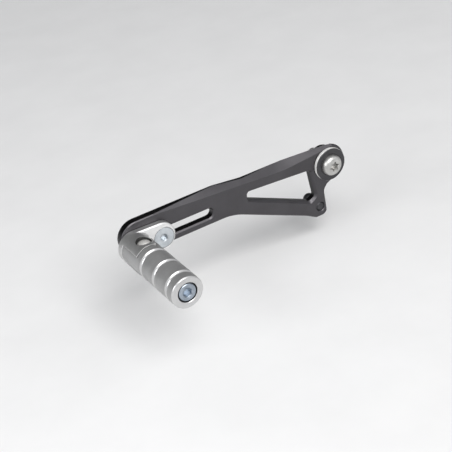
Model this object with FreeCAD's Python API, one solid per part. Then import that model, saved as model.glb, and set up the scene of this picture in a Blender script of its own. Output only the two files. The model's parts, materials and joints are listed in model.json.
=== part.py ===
import FreeCAD, Part
import math
import os

# Gear-shift lever with an adjustable carrier and a folding foot peg.
# Own frame, millimetres: +Z up, +Y towards the motorcycle, -X towards the front wheel.
# The origin is on the pivot bolt's axis, on the face where the bolt enters the bracket.

V = FreeCAD.Vector
AXIS_Y = V(0, 1, 0)
AXIS_Z = V(0, 0, 1)

# ---- driving dimensions -------------------------------------------------------
RUN_GAP = 0.3              # free space between bodies that only pass each other
RUN_FIT = 0.05             # radial clearance of a turning fit

ARM_THICK = 5.0            # lever plate thickness
ARM_FRONT_Y = -10.8        # outer face of the lever plate
ARM_BACK_Y = ARM_FRONT_Y + ARM_THICK
ARM_EDGE = 0.6             # edge break on the outer face
# lower border of the top bevel, x and z: two straights joined by a shallow curve
BEVEL_LINE = ((-140.0, 15.7), (-41.78, 8.383), (-39.78, 8.251), (-37.78, 8.154),
              (-35.78, 8.092), (-33.78, 8.065), (-31.78, 8.072), (-29.78, 8.115),
              (-27.78, 8.192), (-25.78, 8.304), (-23.78, 8.450), (0.0, 10.4))
BEVEL_RISE = 0.88          # height gained per mm of depth
BOSS_R = 12.4              # round pivot end of the lever
REAR_BOSS_R = 9.2
REAR_BOSS_Y = -1.8         # inner end of the bearing boss
BUSH_OUT_R = 7.0
BUSH_LEN = 2.7
SEAL_LEN = 1.2
SLEEVE_R = 5.6             # pivot sleeve the lever turns on
BOLT_R = 4.0               # M8 pivot bolt
BOLT_THREAD_R = 3.9
BOLT_FREE_LEN = 8.0        # thread standing out beyond the sleeve
BOLT_HEAD_R = 6.85
BOLT_SEAT_R = 7.15         # shallow seat for the head in the collar
BOLT_SEAT_DEPTH = 0.3
RELIEF_R = 3.2             # undercut between shank and thread
BOLT_HEAD_H = 4.2
COLLAR_R = 10.7
COLLAR_THICK = 0.6
WASHER_R = 10.8
WASHER_THICK = 2.1
REAR_WASHER_THICK = 1.5
REAR_WASHER_R = 8.2

SLOT_R = 3.2               # half the slot's width
SLOT_X_OUT = -125.5        # centre of the slot's outer round end
SLOT_X_IN = -88.6
SLOT_EDGE = 0.9
CLAMP_X = -122.0           # clamp screw, on the slot's centre line
CLAMP_R = 3.0              # M6
CLAMP_HEAD_R = 6.45
CLAMP_HEAD_H = 3.45

STUD_X = -8.8              # linkage ball stud
STUD_Z = -28.6
STUD_R = 2.95
BALL_R = 4.0
BALL_Y = 2.4

PEG_X = -140.3             # peg axis, parallel to Y
PEG_Z = 0.36
PEG_R = 10.0
PEG_LEN = 42.55            # round grip, from the tip to its shoulder
PEG_TIP_Y = ARM_FRONT_Y - 64.35
SHOULDER_Y = PEG_TIP_Y + PEG_LEN
GROOVE_AT = (8.64, 23.36, 38.05)   # rear edge of each groove, from the tip
GROOVE_W = 2.7
GROOVE_DEPTH = 1.1
TIP_ROUND = 1.2

PLATE_FRONT_Y = ARM_FRONT_Y - 4.4
PLATE_BACK_Y = ARM_FRONT_Y - RUN_GAP
PLATE_END_R = 10.3         # round end around the peg axis
PLATE_SCREW_R = 9.3        # round end around the clamp screw
PLATE_SCREW_X = PEG_X + 16.8
PLATE_SCREW_Z = PEG_Z + 0.4
PLATE_EDGE = 0.7

PIN_Y = ARM_FRONT_Y - 14.4  # hinge pin axis, parallel to Z
PIN_X = PEG_X + 0.7         # set over towards the folding side
PIN_R = 3.85
PIN_HEAD_R = 4.3           # riveted, domed ends
PIN_WELL_R = 4.75
PIN_SHOULDER_H = 7.7       # half length of the pin's full round part
PIN_DOME_H = 2.1
PRONG_IN = 6.1             # inner faces of the fork, above and below the peg axis
PRONG_RIGHT = 6.0          # where the fork is cut back on its folding side
PRONG_NOSE_R = 7.05
PRONG_FILLET = 6.5
TONGUE_HALF = 5.8
TONGUE_TRIM_R = 9.2
PIN_BUSH_R = 5.0
NECK_HALF = 1.9            # half height of the pin's cam neck

CAM_BASE = 2.91            # plunger face to pin axis, peg straight out
CAM_RISE = 0.6             # mm of plunger travel per radian of fold
FOLD_MAX = math.radians(75.0)
CAM_GAP = 0.12

HEAD_BORE_R = 6.05         # counterbore in the peg's tip
HEAD_R = 5.45              # tip screw head
HEAD_H = 4.5
TIP_SEAL_THICK = 0.8
TIP_SHANK_R = 3.95
TIP_SHANK_END = 20.0       # from the tip
CHAMBER_R = 3.6
CHAMBER_END = 43.5
NOSE_R = 1.7


# ---- small helpers ------------------------------------------------------------
def rod(r, y_a, y_b, x=0.0, z=0.0):
    """Round bar along Y."""
    return Part.makeCylinder(r, y_b - y_a, V(x, y_a, z), AXIS_Y)


def cone(r_a, r_b, y_a, y_b, x=0.0, z=0.0):
    """Taper along Y, radius r_a at y_a and r_b at y_b."""
    return Part.makeCone(r_a, r_b, y_b - y_a, V(x, y_a, z), AXIS_Y)


def block(x_a, x_b, y_a, y_b, z_a, z_b):
    return Part.makeBox(x_b - x_a, y_b - y_a, z_b - z_a, V(x_a, y_a, z_a))


def ring(r_out, r_in, y_a, y_b, x=0.0, z=0.0):
    return rod(r_out, y_a, y_b, x, z).cut(rod(r_in, y_a - 1.0, y_b + 1.0, x, z))


def polygon(points, y):
    """Closed wire of straight sides in the plane of one Y."""
    verts = [V(x, y, z) for x, z in points]
    return Part.makePolygon(verts + [verts[0]])


def prism(points, y_a, y_b):
    return Part.Face(polygon(points, y_a)).extrude(V(0, y_b - y_a, 0))


def hexagon(across_flats, x, z, turn=0.0):
    r = across_flats / math.sqrt(3.0)
    out = []
    for k in range(6):
        a = math.radians(60.0 * k + turn)
        out.append((x + r * math.cos(a), z + r * math.sin(a)))
    return out


def rounded_wire(corners, y):
    """Closed wire through corners (x, z, radius), each corner rounded."""
    edges = []
    n = len(corners)
    starts = []
    ends = []
    for k in range(n):
        x, z, r = corners[k]
        here = V(x, y, z)
        back = V(corners[k - 1][0], y, corners[k - 1][1]).sub(here)
        ahead = V(corners[(k + 1) % n][0], y, corners[(k + 1) % n][1]).sub(here)
        back.normalize()
        ahead.normalize()
        half = back.getAngle(ahead) / 2.0
        reach = r / math.tan(half)
        p = here.add(V(back).multiply(reach))
        q = here.add(V(ahead).multiply(reach))
        bisector = back.add(ahead)
        bisector.normalize()
        centre = here.add(V(bisector).multiply(r / math.sin(half)))
        mid = centre.sub(V(bisector).multiply(r))
        edges.append((p, mid, q))
        starts.append(p)
        ends.append(q)
    wire_edges = []
    for k in range(n):
        p, mid, q = edges[k]
        wire_edges.append(Part.Arc(p, mid, q).toShape())
        nxt = starts[(k + 1) % n]
        if q.distanceToPoint(nxt) > 1e-4:
            wire_edges.append(Part.makeLine(q, nxt))
    return Part.Wire(wire_edges)


def rounded_prism(corners, y_a, y_b):
    return Part.Face(rounded_wire(corners, y_a)).extrude(V(0, y_b - y_a, 0))


def stadium_wire(x_a, x_b, z, r, y):
    top = Part.makeLine(V(x_a, y, z + r), V(x_b, y, z + r))
    right = Part.Arc(V(x_b, y, z + r), V(x_b + r, y, z), V(x_b, y, z - r)).toShape()
    low = Part.makeLine(V(x_b, y, z - r), V(x_a, y, z - r))
    left = Part.Arc(V(x_a, y, z - r), V(x_a - r, y, z), V(x_a, y, z + r)).toShape()
    return Part.Wire([top, right, low, left])


def between(wire_a, wire_b):
    return Part.makeLoft([wire_a, wire_b], True, True)


def half_space(p, along, across, size=220.0, height=60.0):
    """Slab on the side of a plane that along x across points to."""
    a = V(along)
    a.normalize()
    n = a.cross(across)
    n.normalize()
    b = n.cross(a)
    corners = []
    for s, t in ((-1, -1), (1, -1), (1, 1), (-1, 1)):
        corners.append(p.add(V(a).multiply(s * size)).add(V(b).multiply(t * size)))
    face = Part.Face(Part.makePolygon(corners + [corners[0]]))
    return face.extrude(V(n).multiply(height))


def turned(profile, x, z, y_from=0.0):
    """Solid of revolution about a line along Y; profile points are (y, radius)."""
    pts = [V(x + r, y_from + y, z) for y, r in profile]
    face = Part.Face(Part.makePolygon(pts + [pts[0]]))
    return face.revolve(V(x, 0, z), AXIS_Y, 360.0)


def front_edges(shape, y):
    out = []
    for e in shape.Edges:
        if all(abs(v.Y - y) < 1e-4 for v in e.Vertexes):
            out.append(e)
    return out


# ---- lever arm ------------------------------------------------------------------
def arm_outline():
    return [
        (BOSS_R, BOSS_R, BOSS_R),
        (-32.0, 12.5, 60.0),
        (-62.0, 12.6, 30.0),
        (-82.0, 15.1, 30.0),
        (-147.75, 15.1, 11.3),
        (-147.75, -7.6, 11.3),
        (-72.0, -7.6, 35.0),
        (-20.0, -31.0, 30.0),
        (-12.6, -35.3, 3.0),
        (-4.0, -35.3, 3.5),
        (-5.0, -16.24, 6.0),
        (BOSS_R, -7.74, BOSS_R),
    ]


def window_walls(spread=0.0):
    """Window corners; spread moves only the lower and rear sides outwards."""
    s = spread
    return [
        (-61.0, 3.9, 2.3),
        (-14.2 + 0.9 * s, 0.4, 3.0),
        (-11.6 + 0.9 * s, -19.8 - 0.2 * s, 2.5),
        (-16.0 + 0.1 * s, -22.0 - 1.1 * s, 3.0),
        (-61.0, -1.7 - 0.9 * s, 2.3 + 0.3 * s),
    ]


def lever_arm():
    plate = rounded_prism(arm_outline(), ARM_FRONT_Y, ARM_BACK_Y)
    plate = plate.makeChamfer(ARM_EDGE, front_edges(plate, ARM_FRONT_Y))
    # broad bevel along the top, widening towards the pivot and thinning out on the boss
    bevel = None
    for k in range(len(BEVEL_LINE) - 1):
        x_a, z_a = BEVEL_LINE[k]
        x_b, z_b = BEVEL_LINE[k + 1]
        side = half_space(V(x_a, ARM_FRONT_Y, z_a), V(x_b - x_a, 0, z_b - z_a),
                          V(0, ARM_THICK, BEVEL_RISE * ARM_THICK))
        bevel = side if bevel is None else bevel.common(side)
    plate = plate.cut(bevel)
    # wider edge break round the upper half of the boss
    rim = block(-3.0, 20.0, ARM_FRONT_Y - 1.0, ARM_FRONT_Y + 1.0, -20.0, 20.0)
    plate = plate.cut(rim.cut(cone(BOSS_R - 1.6, BOSS_R + 0.4, ARM_FRONT_Y - 1.0,
                                   ARM_FRONT_Y + 1.0, -0.25, -0.3)))
    # rear edge falls away along the top near the pivot and round the boss
    lift = V(0.0, 3.0, -1.65)
    behind = half_space(V(0.0, ARM_BACK_Y, 10.55), V(-32.0, 0, 1.95), V(lift).multiply(-1.0))
    behind = behind.common(block(-60.0, 0.0, ARM_FRONT_Y + 1.5, ARM_BACK_Y + 1.0, 5.0, 20.0))
    plate = plate.cut(behind)
    round_off = block(0.0, 20.0, ARM_FRONT_Y + 1.5, ARM_BACK_Y + 1.0, -20.0, 20.0)
    keep = cone(13.4, 10.8, ARM_FRONT_Y + 1.0, ARM_BACK_Y + 1.0, -0.7, -0.8)
    plate = plate.cut(round_off.cut(keep))
    plate = plate.fuse(rod(REAR_BOSS_R, ARM_BACK_Y - 1.0, REAR_BOSS_Y))
    # window with a wide chamfer on its lower and rear sides
    window = rounded_prism(window_walls(), ARM_FRONT_Y - 1.0, ARM_BACK_Y + 1.0)
    depth = 1.7
    flare = between(rounded_wire(window_walls(depth), ARM_FRONT_Y),
                    rounded_wire(window_walls(), ARM_FRONT_Y + depth))
    plate = plate.cut(window).cut(flare)
    # adjusting slot
    slot = Part.Face(stadium_wire(SLOT_X_OUT, SLOT_X_IN, 0.0, SLOT_R, ARM_FRONT_Y - 1.0))
    slot = slot.extrude(V(0, ARM_THICK + 2.0, 0))
    lip = between(stadium_wire(SLOT_X_OUT, SLOT_X_IN, 0.0, SLOT_R + SLOT_EDGE, ARM_FRONT_Y),
                  stadium_wire(SLOT_X_OUT, SLOT_X_IN, 0.0, SLOT_R, ARM_FRONT_Y + SLOT_EDGE))
    plate = plate.cut(slot).cut(lip)
    # bearing bore and linkage hole
    plate = plate.cut(rod(BUSH_OUT_R, ARM_FRONT_Y - 1.0, REAR_BOSS_Y + 1.0))
    plate = plate.cut(rod(STUD_R, ARM_FRONT_Y - 1.0, ARM_BACK_Y + 1.0, STUD_X, STUD_Z))
    plate = plate.cut(cone(STUD_R + 0.5, STUD_R, ARM_FRONT_Y, ARM_FRONT_Y + 0.5, STUD_X, STUD_Z))
    return plate.removeSplitter()


# ---- pivot ------------------------------------------------------------------------
def washer_front_y():
    return ARM_FRONT_Y - RUN_GAP - WASHER_THICK


def collar_front_y():
    return washer_front_y() - COLLAR_THICK


def pivot_collar():
    flange = rod(COLLAR_R, collar_front_y(), washer_front_y())
    flange = flange.makeChamfer(0.25, front_edges(flange, collar_front_y()))
    sleeve = rod(SLEEVE_R, washer_front_y(), 0.0)
    whole = flange.fuse(sleeve)
    whole = whole.cut(rod(BOLT_SEAT_R, collar_front_y() - 1.0, collar_front_y() + BOLT_SEAT_DEPTH))
    return whole.cut(rod(BOLT_R + 0.05, collar_front_y() - 1.0, 1.0)).removeSplitter()


def thrust_washer(y_a, y_b, r):
    w = ring(r, SLEEVE_R + RUN_FIT, y_a, y_b)
    edges = []
    for e in w.Edges:
        c = e.Curve
        if hasattr(c, "Radius") and abs(c.Radius - r) < 1e-4:
            edges.append(e)
    return w.makeChamfer(0.25, edges)


def six_lobe(r_out, r_in, y_a, y_b, turn=0.0):
    """Six-lobed drive recess."""
    core = rod(r_in, y_a, y_b)
    for k in range(6):
        a = math.radians(60.0 * k + turn)
        reach = r_out - 0.62
        lobe = rod(0.62, y_a, y_b, reach * math.cos(a), reach * math.sin(a))
        core = core.fuse(lobe)
    return core


def pivot_bolt():
    y0 = collar_front_y() + BOLT_SEAT_DEPTH
    # domed button head
    dome = []
    steps = 10
    flat_r = 4.0
    for k in range(steps + 1):
        a = math.pi / 2.0 * k / steps
        r = flat_r + (BOLT_HEAD_R - flat_r) * math.cos(a)
        y = -0.7 - (BOLT_HEAD_H - 0.7) * math.sin(a)
        dome.append((y, r))
    profile = [(0.0, 0.0), (0.0, BOLT_HEAD_R)] + dome + [(-BOLT_HEAD_H, 0.0)]
    head = turned(profile, 0.0, 0.0, y0)
    drive = six_lobe(3.3, 2.35, y0 - BOLT_HEAD_H - 1.0, y0 - BOLT_HEAD_H + 2.6, 12.0)
    head = head.cut(drive)
    shank = rod(BOLT_R, y0 - 0.5, -0.9)
    relief = rod(RELIEF_R, -1.0, 0.4)
    thread = rod(BOLT_THREAD_R, 0.3, BOLT_FREE_LEN - 1.0)
    point = cone(BOLT_THREAD_R, BOLT_THREAD_R - 0.9, BOLT_FREE_LEN - 1.0, BOLT_FREE_LEN)
    return head.fuse(shank).fuse(relief).fuse(thread).fuse(point).removeSplitter()


def pivot_bush(y_a):
    return ring(BUSH_OUT_R, SLEEVE_R + RUN_FIT, y_a, y_a + BUSH_LEN)


def dust_seal(y_a):
    seal = ring(BUSH_OUT_R, SLEEVE_R + RUN_FIT, y_a, y_a + SEAL_LEN)
    groove = ring(BUSH_OUT_R - 0.4, BUSH_OUT_R - 0.85, y_a - 0.5, y_a + 0.5)
    return seal.cut(groove)


# ---- linkage ball stud ---------------------------------------------------------------
def stud_washer():
    return ring(4.3, STUD_R + 0.15, ARM_BACK_Y, ARM_BACK_Y + 1.0, STUD_X, STUD_Z)


def ball_stud():
    y = ARM_BACK_Y + 1.0
    thread = rod(STUD_R, ARM_FRONT_Y + 0.9, y, STUD_X, STUD_Z)
    tip = cone(STUD_R - 0.6, STUD_R, ARM_FRONT_Y + 0.4, ARM_FRONT_Y + 0.9, STUD_X, STUD_Z)
    hexa = prism(hexagon(8.0, STUD_X, STUD_Z, 10.0), y, y + 2.2)
    neck = rod(2.2, y + 2.2, BALL_Y, STUD_X, STUD_Z)
    ball = Part.makeSphere(BALL_R, V(STUD_X, BALL_Y, STUD_Z))
    ball = ball.cut(rod(BALL_R, BALL_Y + BALL_R - 0.5, BALL_Y + BALL_R + 1.0, STUD_X, STUD_Z))
    return thread.fuse(tip).fuse(hexa).fuse(neck).fuse(ball).removeSplitter()


# ---- sliding shoe and clamp screw ------------------------------------------------------
def slot_nut():
    guide = Part.Face(stadium_wire(CLAMP_X - 1.55, CLAMP_X + 1.55, 0.0, 2.95, ARM_FRONT_Y + 1.2))
    guide = guide.extrude(V(0, ARM_THICK - 0.2, 0))
    y = ARM_BACK_Y + RUN_GAP
    corners = []
    for sx, sz in ((-1, 1), (1, 1), (1, -1), (-1, -1)):
        corners.append((CLAMP_X + sx * 8.0, sz * 6.0, 2.0))
    flange = rounded_prism(corners, y, y + 3.0)
    nut = guide.fuse(flange)
    return nut.cut(rod(CLAMP_R, ARM_FRONT_Y, y + 5.0, CLAMP_X, 0.0)).removeSplitter()


def clamp_screw():
    top = PLATE_FRONT_Y + 0.1
    head = cone(CLAMP_HEAD_R, CLAMP_R, top, top + CLAMP_HEAD_H, CLAMP_X, 0.0)
    rim = rod(CLAMP_HEAD_R, top, top + 0.3, CLAMP_X, 0.0)
    body = cone(CLAMP_HEAD_R, CLAMP_R, top + 0.3, top + CLAMP_HEAD_H, CLAMP_X, 0.0)
    shank = rod(CLAMP_R, top + CLAMP_HEAD_H - 0.5, ARM_BACK_Y + 5.0, CLAMP_X, 0.0)
    end = cone(CLAMP_R, CLAMP_R - 0.7, ARM_BACK_Y + 5.0, ARM_BACK_Y + 5.7, CLAMP_X, 0.0)
    socket = prism(hexagon(4.0, CLAMP_X, 0.0, 20.0), top - 1.0, top + 2.3)
    mouth = cone(2.75, 2.0, top, top + 0.45, CLAMP_X, 0.0)
    screw = rim.fuse(body).fuse(shank).fuse(end)
    return screw.cut(socket).cut(mouth).removeSplitter()


# ---- peg carrier ----------------------------------------------------------------------
def capsule_wire(y):
    """Plate outline: two round ends of unequal radius joined by tangents."""
    dx = PLATE_SCREW_X - PEG_X
    dz = PLATE_SCREW_Z - PEG_Z
    span = math.hypot(dx, dz)
    lean = math.atan2(dz, dx)
    spread = math.acos((PLATE_END_R - PLATE_SCREW_R) / span)

    def at(cx, cz, r, a):
        return V(cx + r * math.cos(a), y, cz + r * math.sin(a))

    up = lean + spread
    dn = lean - spread
    a1 = at(PEG_X, PEG_Z, PLATE_END_R, up)
    a2 = at(PEG_X, PEG_Z, PLATE_END_R, lean + math.pi)
    a3 = at(PEG_X, PEG_Z, PLATE_END_R, dn)
    b1 = at(PLATE_SCREW_X, PLATE_SCREW_Z, PLATE_SCREW_R, dn)
    b2 = at(PLATE_SCREW_X, PLATE_SCREW_Z, PLATE_SCREW_R, lean)
    b3 = at(PLATE_SCREW_X, PLATE_SCREW_Z, PLATE_SCREW_R, up)
    return Part.Wire([
        Part.Arc(a1, a2, a3).toShape(),
        Part.makeLine(a3, b1),
        Part.Arc(b1, b2, b3).toShape(),
        Part.makeLine(b3, a1),
    ])


def fork():
    """Upper and lower prongs around the peg's tongue."""
    tip_y = SHOULDER_Y + RUN_GAP
    barrel = rod(PLATE_END_R, tip_y, PLATE_FRONT_Y + 1.0, PEG_X, PEG_Z)
    right = PEG_X + PRONG_RIGHT
    keep = block(PEG_X - 20.0, right, tip_y, PLATE_FRONT_Y + 1.0, PEG_Z - 20.0, PEG_Z + 20.0)
    # concave blend from the cut-back side into the plate
    foot = block(right, right + PRONG_FILLET, PLATE_FRONT_Y - PRONG_FILLET,
                 PLATE_FRONT_Y + 1.0, PEG_Z - 20.0, PEG_Z + 20.0)
    hollow = Part.makeCylinder(PRONG_FILLET, 40.0,
                               V(right + PRONG_FILLET, PLATE_FRONT_Y - PRONG_FILLET, PEG_Z - 20.0),
                               AXIS_Z)
    keep = keep.fuse(foot.cut(hollow))
    body = barrel.common(keep)
    # folding-side corner rounded about the pin so the peg's shoulder swings past it
    corner = block(PIN_X, PEG_X + 20.0, tip_y - 1.0, PIN_Y, PEG_Z - 20.0, PEG_Z + 20.0)
    nose = Part.makeCylinder(PRONG_NOSE_R, 40.0, V(PIN_X, PIN_Y, PEG_Z - 20.0), AXIS_Z)
    body = body.cut(corner.cut(nose))
    gap = block(PEG_X - 20.0, PEG_X + 20.0, tip_y - 1.0, PLATE_FRONT_Y,
                PEG_Z - PRONG_IN, PEG_Z + PRONG_IN)
    return body.cut(gap)


def peg_carrier():
    plate = Part.Face(capsule_wire(PLATE_FRONT_Y)).extrude(V(0, PLATE_BACK_Y - PLATE_FRONT_Y, 0))
    plate = plate.makeChamfer(PLATE_EDGE, front_edges(plate, PLATE_FRONT_Y))
    # the plate keeps its full round end where the fork stands on it
    seat = rod(PLATE_END_R, PLATE_FRONT_Y, PLATE_BACK_Y, PEG_X, PEG_Z)
    side = block(PEG_X - 20.0, PEG_X + PRONG_RIGHT + 2.0, PLATE_FRONT_Y, PLATE_BACK_Y,
                 PEG_Z - 20.0, PEG_Z + 20.0)
    whole = plate.fuse(seat.common(side)).fuse(fork())
    top = PLATE_FRONT_Y
    sink = cone(CLAMP_HEAD_R + 0.3, CLAMP_R + 0.25, top + 0.45, top + 4.0, CLAMP_X, 0.0)
    whole = whole.cut(sink)
    whole = whole.cut(rod(CLAMP_HEAD_R + 0.3, top - 1.0, top + 0.45, CLAMP_X, 0.0))
    whole = whole.cut(rod(CLAMP_R + 0.25, top + 3.0, PLATE_BACK_Y + 1.0, CLAMP_X, 0.0))
    pin_hole = Part.makeCylinder(PIN_R, 40.0, V(PIN_X, PIN_Y, PEG_Z - 20.0), AXIS_Z)
    whole = whole.cut(pin_hole)
    for sign in (1.0, -1.0):
        z = PEG_Z + sign * PIN_SHOULDER_H
        well = Part.makeCylinder(PIN_WELL_R, 10.0, V(PIN_X, PIN_Y, z), V(0, 0, sign))
        whole = whole.cut(well)
    return whole.removeSplitter()


def cam_section():
    """Half of the pin's neck that faces the plunger: a follower face rises evenly with the fold."""
    pts = []
    left = -math.sqrt((PIN_R - 0.2) ** 2 - CAM_BASE ** 2)
    pts.append((left, -CAM_BASE))
    steps = 24
    for k in range(steps + 1):
        a = FOLD_MAX * k / steps
        h = CAM_BASE + CAM_RISE * a
        x = h * math.sin(a) + CAM_RISE * math.cos(a)
        y = -h * math.cos(a) + CAM_RISE * math.sin(a)
        pts.append((x, y))
    x_end, y_end = pts[-1]
    start = math.atan2(y_end, x_end)
    end = math.atan2(-CAM_BASE, left) + 2.0 * math.pi
    r_end = math.hypot(x_end, y_end)
    r_left = PIN_R - 0.2
    steps = 30
    for k in range(1, steps):
        t = k / steps
        a = start + (end - start) * t
        r = r_end + (r_left - r_end) * t
        pts.append((r * math.cos(a), r * math.sin(a)))
    return pts


def hinge_pin():
    full = Part.makeCylinder(PIN_R, 2.0 * PIN_SHOULDER_H,
                             V(PIN_X, PIN_Y, PEG_Z - PIN_SHOULDER_H), AXIS_Z)
    gap = Part.makeCylinder(PIN_R + 1.0, 2.0 * NECK_HALF,
                            V(PIN_X, PIN_Y, PEG_Z - NECK_HALF), AXIS_Z)
    verts = [V(PIN_X + x, PIN_Y + y, PEG_Z - NECK_HALF) for x, y in cam_section()]
    neck = Part.Face(Part.makePolygon(verts + [verts[0]])).extrude(V(0, 0, 2.0 * NECK_HALF))
    pin = full.cut(gap).fuse(neck)
    # domed, polished ends
    rise = PIN_DOME_H
    ball_r = (PIN_HEAD_R ** 2 + rise ** 2) / (2.0 * rise)
    for sign in (1.0, -1.0):
        z0 = PEG_Z + sign * PIN_SHOULDER_H
        centre = V(PIN_X, PIN_Y, z0 - sign * (ball_r - rise))
        ball = Part.makeSphere(ball_r, centre)
        cap = Part.makeCylinder(PIN_HEAD_R, rise + 1.0, V(PIN_X, PIN_Y, z0), V(0, 0, sign))
        pin = pin.fuse(ball.common(cap))
    return pin.removeSplitter()


# ---- folding peg -----------------------------------------------------------------------
def grip_profile():
    """Outside of the round grip, (distance from tip, radius)."""
    pts = [(0.0, 0.0), (0.0, PEG_R - TIP_ROUND)]
    steps = 6
    for k in range(1, steps + 1):
        a = math.pi / 2.0 * k / steps
        pts.append((TIP_ROUND * (1.0 - math.cos(a)), PEG_R - TIP_ROUND + TIP_ROUND * math.sin(a)))
    floor = PEG_R - GROOVE_DEPTH
    for rear in GROOVE_AT:
        front = rear - GROOVE_W
        pts.append((front, PEG_R))
        pts.append((front + 0.35, floor + 0.1))
        pts.append((front + 0.8, floor))
        pts.append((rear - 1.15, floor))
        pts.append((rear - 0.6, floor + 0.32))
        pts.append((rear, PEG_R))
    pts.append((PEG_LEN - 0.45, PEG_R))
    pts.append((PEG_LEN, PEG_R - 0.45))
    pts.append((PEG_LEN, 0.0))
    return pts


def tongue():
    body = rod(PEG_R, SHOULDER_Y - 2.0, PLATE_FRONT_Y - RUN_GAP, PEG_X, PEG_Z)
    slab = block(PEG_X - 20.0, PEG_X + 20.0, SHOULDER_Y - 2.0, PLATE_FRONT_Y,
                 PEG_Z - TONGUE_HALF, PEG_Z + TONGUE_HALF)
    body = body.common(slab)
    # the folding side is turned about the pin so it clears the plate
    side = block(PIN_X, PEG_X + 20.0, SHOULDER_Y, PLATE_FRONT_Y + 1.0, PEG_Z - 20.0, PEG_Z + 20.0)
    swing = Part.makeCylinder(TONGUE_TRIM_R, 40.0, V(PIN_X, PIN_Y, PEG_Z - 20.0), AXIS_Z)
    return body.cut(side.cut(swing))


def peg_barrel():
    grip = turned(grip_profile(), PEG_X, PEG_Z, PEG_TIP_Y)
    body = grip.fuse(tongue())
    y = PEG_TIP_Y
    seat = HEAD_H + TIP_SEAL_THICK
    body = body.cut(rod(HEAD_BORE_R, y - 1.0, y + seat, PEG_X, PEG_Z))
    body = body.cut(cone(HEAD_BORE_R + 0.4, HEAD_BORE_R, y, y + 0.4, PEG_X, PEG_Z))
    body = body.cut(rod(TIP_SHANK_R, y + seat - 1.0, y + TIP_SHANK_END + 0.5, PEG_X, PEG_Z))
    body = body.cut(rod(CHAMBER_R, y + TIP_SHANK_END, y + CHAMBER_END, PEG_X, PEG_Z))
    body = body.cut(rod(NOSE_R + 0.05, y + CHAMBER_END - 1.0, PIN_Y, PEG_X, PEG_Z))
    eye = Part.makeCylinder(PIN_BUSH_R, 40.0, V(PIN_X, PIN_Y, PEG_Z - 20.0), AXIS_Z)
    web = block(PEG_X - 20.0, PEG_X + 20.0, SHOULDER_Y, PLATE_FRONT_Y,
                PEG_Z - TONGUE_HALF - 1.0, PEG_Z + TONGUE_HALF + 1.0)
    return body.cut(eye.common(web)).removeSplitter()


def pin_bush(sign):
    low = NECK_HALF + 0.1
    z = PEG_Z + sign * low
    height = TONGUE_HALF - low
    way = V(0, 0, sign)
    base = V(PIN_X, PIN_Y, z)
    out = Part.makeCylinder(PIN_BUSH_R, height, base, way)
    return out.cut(Part.makeCylinder(PIN_R + RUN_FIT, height, base, way))


def tip_screw():
    y = PEG_TIP_Y + 0.15
    head = rod(HEAD_R, y, PEG_TIP_Y + HEAD_H, PEG_X, PEG_Z)
    head = head.makeChamfer(0.45, front_edges(head, y))
    shank = rod(TIP_SHANK_R, PEG_TIP_Y + HEAD_H, PEG_TIP_Y + TIP_SHANK_END - 0.8, PEG_X, PEG_Z)
    end = cone(TIP_SHANK_R, TIP_SHANK_R - 0.8, PEG_TIP_Y + TIP_SHANK_END - 0.8,
               PEG_TIP_Y + TIP_SHANK_END, PEG_X, PEG_Z)
    socket = prism(hexagon(5.0, PEG_X, PEG_Z, 20.0), y - 1.0, y + 3.0)
    mouth = cone(3.35, 2.5, y, y + 0.5, PEG_X, PEG_Z)
    return head.fuse(shank).fuse(end).cut(socket).cut(mouth).removeSplitter()


def tip_seal():
    y = PEG_TIP_Y + HEAD_H
    return ring(HEAD_BORE_R, TIP_SHANK_R, y, y + TIP_SEAL_THICK, PEG_X, PEG_Z)


def plunger():
    face_y = PIN_Y - CAM_BASE - CAM_GAP
    head_end = PEG_TIP_Y + CHAMBER_END - RUN_GAP
    nose = rod(NOSE_R, head_end - 0.5, face_y, PEG_X, PEG_Z)
    head = rod(CHAMBER_R - RUN_FIT, head_end - 3.5, head_end, PEG_X, PEG_Z)
    guide = rod(1.7, head_end - 7.0, head_end - 3.5, PEG_X, PEG_Z)
    return nose.fuse(head).fuse(guide).removeSplitter()


def return_spring():
    wire_r = 0.45
    mean_r = 2.75
    y_a = PEG_TIP_Y + TIP_SHANK_END + wire_r + 0.05
    y_b = PEG_TIP_Y + CHAMBER_END - RUN_GAP - 3.5 - wire_r - 0.05
    turns = 7.0
    length = y_b - y_a
    path = Part.makeHelix(length / turns, length, mean_r)
    profile = Part.Wire(Part.makeCircle(wire_r, V(mean_r, 0, 0), AXIS_Y))
    coil = Part.Wire(path).makePipeShell([profile], True, True)
    coil.rotate(V(0, 0, 0), V(1, 0, 0), -90.0)
    coil.translate(V(PEG_X, y_a, PEG_Z))
    return coil


# ---- write every piece --------------------------------------------------------------------
def build():
    seal_y = ARM_FRONT_Y
    return {
        "pivot_bolt": pivot_bolt(),
        "pivot_collar": pivot_collar(),
        "thrust_washer_front": thrust_washer(washer_front_y(), ARM_FRONT_Y - RUN_GAP, WASHER_R),
        "thrust_washer_rear": thrust_washer(-REAR_WASHER_THICK, 0.0, REAR_WASHER_R),
        "lever_arm": lever_arm(),
        "pivot_bush_front": pivot_bush(seal_y + SEAL_LEN),
        "pivot_bush_rear": pivot_bush(REAR_BOSS_Y - SEAL_LEN - BUSH_LEN),
        "dust_seal_front": dust_seal(seal_y),
        "dust_seal_rear": dust_seal(REAR_BOSS_Y - SEAL_LEN),
        "linkage_ball_stud": ball_stud(),
        "stud_washer": stud_washer(),
        "slot_nut": slot_nut(),
        "clamp_screw": clamp_screw(),
        "peg_carrier": peg_carrier(),
        "hinge_pin": hinge_pin(),
        "peg_barrel": peg_barrel(),
        "pin_bush_upper": pin_bush(1.0),
        "pin_bush_lower": pin_bush(-1.0),
        "tip_screw": tip_screw(),
        "tip_seal": tip_seal(),
        "return_spring": return_spring(),
        "plunger": plunger(),
    }


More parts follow.
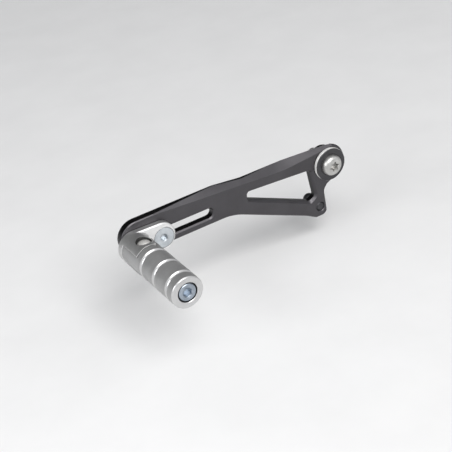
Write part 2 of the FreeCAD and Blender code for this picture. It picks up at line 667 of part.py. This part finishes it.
os.makedirs("parts", exist_ok=True)
for name, shape in build().items():
    shape.exportStep("parts/" + name + ".step")
    box = shape.BoundBox
    print(name, shape.isValid(), len(shape.Solids), round(shape.Volume, 1),
          [round(v, 1) for v in (box.XMin, box.XMax, box.YMin, box.YMax, box.ZMin, box.ZMax)])
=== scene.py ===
import json
import math

import bmesh
import bpy
from mathutils import Matrix, Vector


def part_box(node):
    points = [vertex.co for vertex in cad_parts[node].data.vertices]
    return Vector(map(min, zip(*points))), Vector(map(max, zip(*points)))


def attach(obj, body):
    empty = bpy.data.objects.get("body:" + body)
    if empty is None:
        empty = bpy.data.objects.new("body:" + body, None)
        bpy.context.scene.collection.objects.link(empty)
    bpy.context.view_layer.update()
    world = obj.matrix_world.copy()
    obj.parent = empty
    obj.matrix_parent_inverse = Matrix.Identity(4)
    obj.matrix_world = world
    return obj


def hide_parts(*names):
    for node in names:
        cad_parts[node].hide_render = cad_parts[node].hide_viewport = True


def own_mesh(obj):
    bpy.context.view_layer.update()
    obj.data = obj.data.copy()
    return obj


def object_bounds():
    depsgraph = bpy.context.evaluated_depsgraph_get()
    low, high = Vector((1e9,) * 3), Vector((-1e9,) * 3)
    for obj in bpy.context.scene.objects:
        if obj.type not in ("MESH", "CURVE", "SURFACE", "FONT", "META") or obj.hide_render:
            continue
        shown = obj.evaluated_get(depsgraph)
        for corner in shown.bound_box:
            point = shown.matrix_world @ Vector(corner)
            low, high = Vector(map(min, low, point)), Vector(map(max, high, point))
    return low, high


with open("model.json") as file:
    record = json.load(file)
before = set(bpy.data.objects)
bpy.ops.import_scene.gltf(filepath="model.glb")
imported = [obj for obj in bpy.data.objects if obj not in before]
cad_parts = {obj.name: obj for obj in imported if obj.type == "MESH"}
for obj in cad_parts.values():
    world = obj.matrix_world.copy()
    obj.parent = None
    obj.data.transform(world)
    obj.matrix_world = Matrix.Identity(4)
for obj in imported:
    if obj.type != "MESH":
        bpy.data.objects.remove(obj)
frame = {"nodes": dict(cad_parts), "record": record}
cad_box = [list(c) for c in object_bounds()]
NODES = frame["nodes"]

# ---- camera and stand ---------------------------------------------------------------
CAM_AZIMUTH = -26.93       # degrees, from straight in front (-Y), negative towards -X
CAM_ELEVATION = 31.20
CAM_ROLL = 8.83
CAM_DISTANCE = 0.700
CAM_TARGET = Vector((-0.09369, -0.04098, 0.00753))
CAM_LENS = 96.26           # mm on a 36 mm sensor
FLOOR_DROP = 0.015         # floor under the lowest point at rest, so the lever can swing
WORLD_FRONT = 0.80         # brightness of the room in front of the part
WORLD_BACK = 0.04          # and behind it
WORLD_FADE = (-0.25, 0.45) # the fade between them, along Y of the unit direction
FLOOR_R = 3.4              # metres; flat to FLOOR_FLAT, then rising by FLOOR_RISE
FLOOR_FLAT = 1.4
FLOOR_RISE = 0.55
FLOOR_CENTRE_X = -0.07
LIGHT_AIM = Vector((-0.07, -0.02, 0.0))
LIGHTS = (                 # name, place, size, watts, colour
    ("key", (-0.10, -0.95, 1.10), 1.0, 15.0, (1.0, 0.99, 0.98)),
    ("side", (-1.1, -0.25, 0.50), 0.6, 5.0, (0.98, 0.99, 1.0)),
)

# ---- places on the part, metres --------------------------------------------------------
PEG_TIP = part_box("peg_barrel")[0][1]
PEG_X = -0.1403
PEG_Z = 0.00036
PEG_R = 0.010
GROOVES = (0.00864, 0.02336, 0.03805)    # rear edges, from the tip
GROOVE_W = 0.0027
GROOVE_MARGIN = 0.0002
TIP_FACE_DEPTH = 0.0011    # the end face with its rounded rim
BORE_R = 0.00612           # counterbore in the tip
BORE_DEPTH = 0.012
CLAMP_X = -0.122
LATHE_PITCH = 0.00016      # turning marks on the grip
PIN_X, PIN_Y = -0.1396, -0.0252
PIN_WELL_R = 0.00475
PLATE_FACE = -0.0152        # front of the carrier's plate
BOLT_THREAD_Y = (0.0004, 0.0070)    # free thread behind the rear washer
BOLT_ROOT = 0.0039
BOLT_CREST = 0.00415
CLAMP_THREAD_Y = (-0.0024, -0.0008)
CLAMP_ROOT = 0.0030
CLAMP_CREST = CLAMP_ROOT + 0.00016
THREAD_FOOT = 0.44         # half width of a ridge's foot, in pitches
THREAD_CREST = 0.09        # half width of its crest, in pitches
THREAD_FADE = 0.6          # turns over which it rises and dies out
THREAD_SUNK = 0.00006      # depth of its foot inside the shank
SPRING_Y = (-0.05510, -0.03550)
SPRING_MEAN_R = 0.00275
SPRING_WIRE_R = 0.00045
SPRING_TURNS = 8


# ---- node helpers -------------------------------------------------------------------------
class Mat:
    """Small builder for a node material around one Principled shader."""

    def __init__(self, name):
        self.mat = bpy.data.materials.new(name)
        self.mat.use_nodes = True
        self.nt = self.mat.node_tree
        self.nt.nodes.clear()
        self.out = self.nt.nodes.new("ShaderNodeOutputMaterial")
        self.bsdf = self.nt.nodes.new("ShaderNodeBsdfPrincipled")
        self.nt.links.new(self.bsdf.outputs[0], self.out.inputs["Surface"])
        self.coord = self.nt.nodes.new("ShaderNodeTexCoord").outputs["Object"]
        self.xyz = None

    def link(self, a, b):
        self.nt.links.new(a, b)

    def put(self, socket, value):
        if hasattr(value, "is_output"):
            self.link(value, socket)
        else:
            socket.default_value = value

    def math(self, op, a, b=0.0, c=None, clamp=False):
        n = self.nt.nodes.new("ShaderNodeMath")
        n.operation = op
        n.use_clamp = clamp
        self.put(n.inputs[0], a)
        self.put(n.inputs[1], b)
        if c is not None:
            self.put(n.inputs[2], c)
        return n.outputs[0]

    def axis(self, k):
        if self.xyz is None:
            self.xyz = self.nt.nodes.new("ShaderNodeSeparateXYZ")
            self.link(self.coord, self.xyz.inputs[0])
        return self.xyz.outputs[k]

    def normal_axis(self, k):
        geo = self.nt.nodes.new("ShaderNodeNewGeometry")
        split = self.nt.nodes.new("ShaderNodeSeparateXYZ")
        self.link(geo.outputs["Normal"], split.inputs[0])
        return split.outputs[k]

    def stretch(self, sx, sy, sz):
        n = self.nt.nodes.new("ShaderNodeMapping")
        self.link(self.coord, n.inputs["Vector"])
        n.inputs["Scale"].default_value = (sx, sy, sz)
        return n.outputs[0]

    def noise(self, scale, detail=4.0, rough=0.55, vector=None):
        n = self.nt.nodes.new("ShaderNodeTexNoise")
        self.link(vector or self.coord, n.inputs["Vector"])
        n.inputs["Scale"].default_value = scale
        n.inputs["Detail"].default_value = detail
        n.inputs["Roughness"].default_value = rough
        return n.outputs["Fac"]

    def speckle(self, scale):
        n = self.nt.nodes.new("ShaderNodeTexVoronoi")
        self.link(self.coord, n.inputs["Vector"])
        n.inputs["Scale"].default_value = scale
        return n.outputs["Distance"]

    def span(self, value, a, b, lo=0.0, hi=1.0):
        n = self.nt.nodes.new("ShaderNodeMapRange")
        n.clamp = True
        self.put(n.inputs["Value"], value)
        for key, v in (("From Min", a), ("From Max", b), ("To Min", lo), ("To Max", hi)):
            self.put(n.inputs[key], v)
        return n.outputs[0]

    def mix(self, fac, a, b):
        n = self.nt.nodes.new("ShaderNodeMix")
        n.data_type = "RGBA"
        self.put(n.inputs["Factor"], fac)
        self.put(n.inputs[6], rgba(a) if isinstance(a, tuple) else a)
        self.put(n.inputs[7], rgba(b) if isinstance(b, tuple) else b)
        return n.outputs[2]

    def blend(self, fac, a, b):
        n = self.nt.nodes.new("ShaderNodeMix")
        n.data_type = "FLOAT"
        self.put(n.inputs["Factor"], fac)
        self.put(n.inputs[2], a)
        self.put(n.inputs[3], b)
        return n.outputs[0]

    def rounded_normal(self, radius):
        n = self.nt.nodes.new("ShaderNodeBevel")
        n.samples = 6
        n.inputs["Radius"].default_value = radius
        return n.outputs[0]

    def edges(self, radius, lo=0.04, hi=0.35):
        """1 on sharp convex and concave edges, 0 on flat ground."""
        geo = self.nt.nodes.new("ShaderNodeNewGeometry")
        dot = self.nt.nodes.new("ShaderNodeVectorMath")
        dot.operation = "DOT_PRODUCT"
        self.link(self.rounded_normal(radius), dot.inputs[0])
        self.link(geo.outputs["Normal"], dot.inputs[1])
        return self.span(self.math("SUBTRACT", 1.0, dot.outputs["Value"]), lo, hi)

    def radius_from(self, x, other, k=2):
        """Distance from a line along Y at (x, z), or along Z at (x, y) with k=1."""
        dx = self.math("SUBTRACT", self.axis(0), x)
        dk = self.math("SUBTRACT", self.axis(k), other)
        sq = self.math("ADD", self.math("MULTIPLY", dx, dx), self.math("MULTIPLY", dk, dk))
        return self.math("SQRT", sq)

    def rings(self, x, z, pitch, spread=0.0):
        """Turned marks on a face that looks along Y: 0..1 over each ring."""
        r = self.radius_from(x, z)
        if spread:
            r = self.math("ADD", r, self.math("MULTIPLY", self.noise(900.0, 2.0), spread))
        wave = self.math("SINE", self.math("MULTIPLY", r, 2.0 * math.pi / pitch))
        return self.span(wave, -1.0, 1.0)

    def bump(self, *layers, bevel=0.0003):
        """Layers of (height, strength, distance in metres) over a slightly rounded normal."""
        normal = self.rounded_normal(bevel)
        for height, strength, depth in layers:
            n = self.nt.nodes.new("ShaderNodeBump")
            n.inputs["Strength"].default_value = strength
            n.inputs["Distance"].default_value = depth
            self.link(height, n.inputs["Height"])
            self.link(normal, n.inputs["Normal"])
            normal = n.outputs[0]
        self.link(normal, self.bsdf.inputs["Normal"])

    def set(self, **values):
        names = {"color": "Base Color", "rough": "Roughness", "metal": "Metallic",
                 "spec": "Specular IOR Level"}
        for key, value in values.items():
            if isinstance(value, tuple):
                value = rgba(value)
            self.put(self.bsdf.inputs[names[key]], value)
        return self.mat


def rgba(c):
    return (c[0], c[1], c[2], 1.0)


# ---- materials ------------------------------------------------------------------------------
def black_anodised(name, base=(0.078, 0.075, 0.080), light=(0.098, 0.095, 0.101),
                   wall_shade=0.8):
    """Satin black; walls cut square through the plate are painted darker than its faces, as painted
    shade.
    """
    m = Mat(name)
    cloud = m.noise(55.0, 5.0)
    grain = m.noise(5200.0, 3.0, 0.7)
    brushed = m.noise(900.0, 4.0, 0.6, m.stretch(0.06, 1.0, 1.0))
    colour = m.mix(m.span(cloud, 0.3, 0.72), base, light)
    colour = m.mix(m.span(grain, 0.45, 0.72, 0.0, 0.30), colour, (0.125, 0.120, 0.130))
    edge = m.edges(0.00028)
    worn = m.math("MULTIPLY", edge, m.span(m.noise(420.0, 4.0, 0.7), 0.38, 0.62), clamp=True)
    colour = m.mix(m.math("MULTIPLY", worn, 0.55), colour, (0.30, 0.30, 0.32))
    scuff = m.span(m.noise(260.0, 6.0, 0.75, m.stretch(0.25, 1.0, 1.0)), 0.66, 0.80)
    colour = m.mix(m.math("MULTIPLY", scuff, 0.25), colour, (0.16, 0.16, 0.17))
    # painted shade: walls cut square through the plate, away from the Y faces, are painted near
    # black
    painted_wall_shade = m.span(m.math("ABSOLUTE", m.normal_axis(1)), 0.25, 0.10)
    colour = m.mix(m.math("MULTIPLY", painted_wall_shade, wall_shade), colour, (0.012, 0.012, 0.013))
    rough = m.blend(m.span(cloud, 0.3, 0.7), 0.31, 0.40)
    rough = m.math("ADD", rough, m.span(brushed, 0.3, 0.7, -0.04, 0.05))
    m.set(color=colour, rough=rough, metal=0.96)
    m.bump((brushed, 0.10, 0.00006), (grain, 0.22, 0.00003))
    return m.mat


def blasted(name, base=(0.50, 0.50, 0.50), light=(0.66, 0.66, 0.655)):
    """Bead-blasted carrier; the flat of its plate is faced off brighter."""
    m = Mat(name)
    flat = m.span(m.normal_axis(1), -0.60, -0.70)
    faced = m.math("MULTIPLY", m.span(m.axis(1), PLATE_FACE - 0.0003, PLATE_FACE - 0.0001), flat)
    cloud = m.noise(90.0, 4.0)
    grain = m.noise(4200.0, 3.0, 0.7)
    cells = m.speckle(3600.0)
    colour = m.mix(m.span(cloud, 0.32, 0.68), base, light)
    colour = m.mix(m.span(grain, 0.5, 0.75, 0.0, 0.25), colour, (0.34, 0.34, 0.34))
    # painted highlight: sharp edges are painted near white
    edge = m.edges(0.00035)
    colour = m.mix(m.math("MULTIPLY", edge, 0.75), colour, (0.92, 0.92, 0.91))
    grime = m.span(m.noise(520.0, 5.0, 0.7), 0.62, 0.78)
    colour = m.mix(m.math("MULTIPLY", grime, 0.22), colour, (0.20, 0.19, 0.18))
    colour = m.mix(m.math("MULTIPLY", faced, 0.65), colour, (0.86, 0.86, 0.86))
    # painted shade: the wells over the hinge pin's ends are painted dark
    from_pin = m.radius_from(PIN_X, PIN_Y, 1)
    painted_well_shade = m.span(from_pin, PIN_WELL_R + 0.00008, PIN_WELL_R + 0.00002)
    colour = m.mix(m.math("MULTIPLY", painted_well_shade, 0.85), colour, (0.035, 0.035, 0.035))
    m.set(color=colour, rough=m.blend(m.span(grain, 0.3, 0.7), 0.40, 0.52),
          metal=m.blend(faced, 0.92, 0.58))
    m.bump((cells, 0.18, 0.00004), (grain, 0.30, 0.00003), bevel=0.0004)
    return m.mat


def turned_barrel(name):
    """Satin anodised grip; groove walls and the tip's end face are bright turned metal."""
    m = Mat(name)
    y = m.math("SUBTRACT", m.axis(1), PEG_TIP)
    r = m.radius_from(PEG_X, PEG_Z)
    cloud = m.noise(80.0, 4.0)
    grain = m.noise(5200.0, 3.0, 0.7)
    turned = m.noise(2600.0, 3.0, 0.6, m.stretch(0.03, 1.0, 0.03))
    satin = m.mix(m.span(cloud, 0.3, 0.7), (0.335, 0.335, 0.335), (0.435, 0.435, 0.435))
    satin = m.mix(m.span(turned, 0.35, 0.75, 0.0, 0.30), satin, (0.24, 0.24, 0.24))
    bright = m.mix(m.span(cloud, 0.3, 0.7), (0.52, 0.52, 0.52), (0.61, 0.61, 0.61))
    # inside a groove: below the grip's skin and within one of the three widths
    below = m.span(r, PEG_R - 0.00004, PEG_R - 0.00016)
    within = None
    for rear in GROOVES:
        centre = rear - GROOVE_W / 2.0
        off = m.math("ABSOLUTE", m.math("SUBTRACT", y, centre))
        hit = m.math("LESS_THAN", off, GROOVE_W / 2.0 + GROOVE_MARGIN)
        within = hit if within is None else m.math("MAXIMUM", within, hit)
    groove = m.math("MULTIPLY", below, within)
    outer = m.span(r, BORE_R - 0.00012, BORE_R + 0.00008)
    face = m.math("MULTIPLY", m.math("LESS_THAN", y, TIP_FACE_DEPTH), outer)
    zone = m.math("MAXIMUM", groove, face, clamp=True)
    painted_bore_shade = m.math("MULTIPLY", m.math("LESS_THAN", r, BORE_R), m.math("LESS_THAN", y, BORE_DEPTH))
    colour = m.mix(zone, satin, bright)
    # painted highlight: sharp edges are painted bright
    edge = m.edges(0.00022)
    colour = m.mix(m.math("MULTIPLY", edge, 0.45), colour, (0.80, 0.80, 0.80))
    # painted shade: the inside of the tip's counterbore is painted near black
    colour = m.mix(m.math("MULTIPLY", painted_bore_shade, 0.9), colour, (0.05, 0.05, 0.05))
    grime = m.math("MULTIPLY", m.span(m.noise(700.0, 5.0, 0.7), 0.60, 0.78), 0.20)
    colour = m.mix(grime, colour, (0.12, 0.115, 0.11))
    lathe = m.math("SINE", m.math("MULTIPLY", y, 2.0 * math.pi / LATHE_PITCH))
    rough = m.blend(zone, m.blend(m.span(grain, 0.3, 0.7), 0.38, 0.48), 0.30)
    m.set(color=colour, rough=rough, metal=m.blend(zone, 0.55, 0.80))
    m.bump((lathe, 0.05, 0.00002), (turned, 0.12, 0.00004), (grain, 0.16, 0.00002))
    return m.mat


def turned_steel(name, base, light, rough=0.30, x=None, z=None, pitch=0.00022, dirt=0.25,
                 metal=1.0):
    """Machined and plated steel: turned rings on end faces, dull specks, and edges painted brighter
    as a painted highlight.
    """
    m = Mat(name)
    cloud = m.noise(160.0, 4.0)
    grain = m.noise(3800.0, 3.0, 0.7)
    colour = m.mix(m.span(cloud, 0.3, 0.7), base, light)
    specks = m.span(m.noise(1500.0, 5.0, 0.75), 0.60, 0.74)
    dull = tuple(0.35 * v for v in base)
    colour = m.mix(m.math("MULTIPLY", specks, dirt), colour, dull)
    # painted highlight: sharp edges are painted brighter than the light tone
    edge = m.edges(0.0002)
    bright = tuple(min(1.0, 1.25 * v) for v in light)
    colour = m.mix(m.math("MULTIPLY", edge, 0.5), colour, bright)
    fine = m.blend(m.span(cloud, 0.3, 0.7), rough, rough + 0.10)
    m.set(color=colour, rough=m.math("ADD", fine, m.span(specks, 0.0, 1.0, 0.0, 0.12)), metal=metal)
    layers = [(grain, 0.15, 0.00002)]
    if x is not None:
        layers.append((m.rings(x, z, pitch, 0.00002), 0.10, 0.00002))
    m.bump(*layers, bevel=0.00025)
    return m.mat


def bronze(name):
    m = Mat(name)
    pores = m.speckle(2600.0)
    cloud = m.noise(300.0, 4.0)
    colour = m.mix(m.span(cloud, 0.3, 0.7), (0.42, 0.27, 0.12), (0.60, 0.41, 0.20))
    colour = m.mix(m.span(pores, 0.0, 0.22, 0.6, 0.0), colour, (0.10, 0.07, 0.04))
    m.set(color=colour, rough=m.span(cloud, 0.3, 0.7, 0.36, 0.5), metal=1.0)
    m.bump((pores, 0.3, 0.00004))
    return m.mat


def rubber(name):
    m = Mat(name)
    grain = m.noise(3000.0, 4.0, 0.7)
    cloud = m.noise(220.0, 4.0)
    colour = m.mix(m.span(cloud, 0.3, 0.7), (0.010, 0.010, 0.011), (0.022, 0.022, 0.023))
    dust = m.span(m.noise(900.0, 5.0, 0.75), 0.58, 0.78, 0.0, 0.4)
    colour = m.mix(dust, colour, (0.06, 0.057, 0.053))
    m.set(color=colour, rough=m.span(grain, 0.3, 0.7, 0.62, 0.82), metal=0.0)
    m.bump((grain, 0.4, 0.00004))
    return m.mat


MATERIALS = {
    "black_anodised": black_anodised("satin_black_anodised"),
    "silver_anodised": blasted("bead_blasted_silver"),
    "barrel_anodised": turned_barrel("turned_grip"),
    "zinc_steel": turned_steel("zinc_plated", (0.46, 0.49, 0.52), (0.66, 0.70, 0.73), 0.30,
                               x=CLAMP_X, z=0.0),
    "bolt_steel": turned_steel("satin_stainless", (0.46, 0.455, 0.44), (0.62, 0.615, 0.60), 0.34,
                               x=0.0, z=0.0),
    "collar_black": black_anodised("collar_black_anodised", base=(0.060, 0.060, 0.063),
                                   light=(0.085, 0.085, 0.089), wall_shade=0.3),
    "washer_steel": turned_steel("bright_washer", (0.74, 0.735, 0.72), (0.86, 0.855, 0.84), 0.42,
                                 x=0.0, z=0.0, pitch=0.0003, dirt=0.12, metal=0.35),
    "bronze": bronze("sintered_bronze"),
    "seal_rubber": rubber("matt_rubber"),
    "pin_polished": turned_steel("polished_pin", (0.80, 0.79, 0.76), (0.92, 0.91, 0.88), 0.20,
                                 dirt=0.15, metal=0.56),
    "dark_steel": turned_steel("blackened_steel", (0.055, 0.055, 0.060), (0.10, 0.10, 0.105),
                               0.40),
    "spring_steel": turned_steel("drawn_wire", (0.28, 0.28, 0.29), (0.42, 0.42, 0.43), 0.32),
}


def paint(node, material):
    NODES[node].data.materials.clear()
    NODES[node].data.materials.append(material)


for part in frame["record"]["subparts"]:
    paint(part["node"], MATERIALS[part["material_slot"]])

# the tip screw is zinc plated too, but its turning marks lie around the peg's own axis
tip_zinc = turned_steel("zinc_plated_tip", (0.29, 0.33, 0.38), (0.42, 0.475, 0.54), 0.30,
                        PEG_X, PEG_Z)
paint("tip_screw", tip_zinc)


# ---- thread ridges and return spring ----------------------------------------------------------
def swept_piece(name, rows, body, slot, smooth=False):
    """A closed skin over rows of points, riding on a body."""
    bm = bmesh.new()
    rings = [[bm.verts.new(co) for co in row] for row in rows]
    count = len(rings[0])
    for one, two in zip(rings, rings[1:]):
        for k in range(count):
            n = (k + 1) % count
            bm.faces.new((one[k], one[n], two[n], two[k]))
    bm.faces.new(rings[0][::-1])
    bm.faces.new(rings[-1])
    bmesh.ops.recalc_face_normals(bm, faces=bm.faces)
    mesh = bpy.data.meshes.new(name)
    bm.to_mesh(mesh)
    bm.free()
    if smooth:
        for p in mesh.polygons:
            p.use_smooth = len(p.vertices) == 4
    mesh.materials.append(MATERIALS[slot])
    ob = bpy.data.objects.new(name, mesh)
    bpy.context.collection.objects.link(ob)
    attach(ob, body)
    return ob


def thread(name, x, span, root, crest, pitch, body, slot):
    """A rolled thread standing on a plain shank along Y, fading in and out at its ends."""
    around = 40
    y_a, y_b = span
    half = pitch * THREAD_FOOT
    flat = pitch * THREAD_CREST
    steps = int(round((y_b - y_a) / pitch * around))
    fade_steps = THREAD_FADE * around
    rows = []
    for k in range(steps + 1):
        a = 2.0 * math.pi * k / around
        y = y_a + half + (y_b - y_a - 2.0 * half) * k / steps
        fade = min(1.0, k / fade_steps, (steps - k) / fade_steps)
        top = root + (crest - root) * max(fade, 0.02)
        foot = root - THREAD_SUNK
        profile = ((foot, -half), (top, -flat), (top, flat), (foot, half))
        rows.append([(x + r * math.cos(a), y + off, r * math.sin(a)) for r, off in profile])
    return swept_piece(name, rows, body, slot)


def coil_spring(name):
    """Compression spring along the peg with closed end turns."""
    per_turn = 36
    sides = 10
    y_a, y_b = SPRING_Y
    closed = 2.1 * SPRING_WIRE_R
    length = y_b - y_a - 2.0 * SPRING_WIRE_R
    rows = []
    for k in range(SPRING_TURNS * per_turn + 1):
        t = k / per_turn
        if t < 1.0:
            y = closed * t
        elif t > SPRING_TURNS - 1.0:
            y = length - closed * (SPRING_TURNS - t)
        else:
            y = closed + (length - 2.0 * closed) * (t - 1.0) / (SPRING_TURNS - 2.0)
        a = 2.0 * math.pi * t
        out = Vector((math.cos(a), 0.0, math.sin(a)))
        centre = Vector((PEG_X, y_a + SPRING_WIRE_R + y, PEG_Z)) + out * SPRING_MEAN_R
        row = []
        for s in range(sides):
            b = 2.0 * math.pi * s / sides
            row.append(centre + out * (SPRING_WIRE_R * math.cos(b))
                       + Vector((0.0, SPRING_WIRE_R * math.sin(b), 0.0)))
        rows.append(row)
    ob = swept_piece(name, rows, "peg", "spring_steel", smooth=True)
    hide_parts("return_spring")
    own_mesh(ob)
    return ob


# ---- camera -----------------------------------------------------------------------------------
def place_camera():
    az = math.radians(CAM_AZIMUTH)
    el = math.radians(CAM_ELEVATION)
    away = Vector((math.sin(az) * math.cos(el), -math.cos(az) * math.cos(el), math.sin(el)))
    level = Vector((0, 0, 1)).cross(away).normalized()
    up = away.cross(level)
    roll = math.radians(CAM_ROLL)
    right = level * math.cos(roll) - up * math.sin(roll)
    top = up * math.cos(roll) + level * math.sin(roll)
    m = Matrix((right, top, away)).transposed().to_4x4()
    m.translation = CAM_TARGET + away * CAM_DISTANCE
    data = bpy.data.cameras.new("camera")
    data.sensor_width = 36.0
    data.lens = CAM_LENS
    data.clip_start = 0.01
    data.clip_end = 20.0
    cam = bpy.data.objects.new("camera", data)
    bpy.context.collection.objects.link(cam)
    cam.matrix_world = m
    bpy.context.scene.camera = cam


# ---- floor and light ------------------------------------------------------------------------
def build_floor(z):
    """Gently dished pale ground, so that no horizon line shows."""
    bm = bmesh.new()
    rings = 24
    sides = 96
    rows = []
    for k in range(rings + 1):
        r = FLOOR_R * k / rings
        rise = 0.0
        if r > FLOOR_FLAT:
            rise = FLOOR_RISE * ((r - FLOOR_FLAT) / (FLOOR_R - FLOOR_FLAT)) ** 2
        row = []
        for s in range(sides):
            a = 2.0 * math.pi * s / sides
            x = r * math.cos(a) + FLOOR_CENTRE_X
            row.append(bm.verts.new((x, r * math.sin(a), z + rise)))
            if k == 0:
                break
        rows.append(row)
    for s in range(sides):
        bm.faces.new((rows[0][0], rows[1][s], rows[1][(s + 1) % sides]))
    for k in range(1, rings):
        for s in range(sides):
            t = (s + 1) % sides
            bm.faces.new((rows[k][s], rows[k + 1][s], rows[k + 1][t], rows[k][t]))
    mesh = bpy.data.meshes.new("floor")
    bm.to_mesh(mesh)
    bm.free()
    for p in mesh.polygons:
        p.use_smooth = True
    ob = bpy.data.objects.new("floor", mesh)
    bpy.context.collection.objects.link(ob)
    m = Mat("pale_floor")
    speck = m.noise(24.0, 4.0)
    m.set(color=m.mix(m.span(speck, 0.3, 0.7), (0.80, 0.80, 0.80), (0.83, 0.83, 0.83)),
          rough=0.7, metal=0.0, spec=0.2)
    mesh.materials.append(m.mat)


def area_light(name, place, size, power, colour):
    """Square soft light, aimed at the middle of the part."""
    data = bpy.data.lights.new(name, "AREA")
    data.energy = power
    data.color = colour
    data.shape = "RECTANGLE"
    data.size = size
    data.size_y = size
    ob = bpy.data.objects.new(name, data)
    bpy.context.collection.objects.link(ob)
    place = Vector(place)
    turn = (LIGHT_AIM - place).to_track_quat("-Z", "Y").to_matrix().to_4x4()
    ob.matrix_world = Matrix.Translation(place) @ turn


def studio_world():
    """Soft light from the front and above; the back of the room is dark."""
    world = bpy.data.worlds.new("studio")
    world.use_nodes = True
    nt = world.node_tree
    back = nt.nodes["Background"]
    coord = nt.nodes.new("ShaderNodeTexCoord")
    split = nt.nodes.new("ShaderNodeSeparateXYZ")
    nt.links.new(coord.outputs["Generated"], split.inputs[0])
    fade = nt.nodes.new("ShaderNodeMapRange")
    fade.interpolation_type = "SMOOTHSTEP"
    for key, value in (("From Min", WORLD_FADE[0]), ("From Max", WORLD_FADE[1]),
                       ("To Min", WORLD_FRONT), ("To Max", WORLD_BACK)):
        fade.inputs[key].default_value = value
    nt.links.new(split.outputs[1], fade.inputs["Value"])
    nt.links.new(fade.outputs[0], back.inputs["Strength"])
    back.inputs["Color"].default_value = (0.97, 0.98, 1.0, 1.0)
    bpy.context.scene.world = world


def light_scene():
    for light in LIGHTS:
        area_light(*light)
    studio_world()


bpy.context.scene.view_settings.view_transform = "Standard"
thread("pivot_bolt_thread", 0.0, BOLT_THREAD_Y, BOLT_ROOT, BOLT_CREST, 0.00125,
       "pivot", "bolt_steel")
thread("clamp_screw_thread", CLAMP_X, CLAMP_THREAD_Y, CLAMP_ROOT, CLAMP_CREST, 0.0010,
       "shoe", "zinc_steel")
coil_spring("coil_return_spring")
place_camera()
build_floor(cad_box[0][2] - FLOOR_DROP)
light_scene()
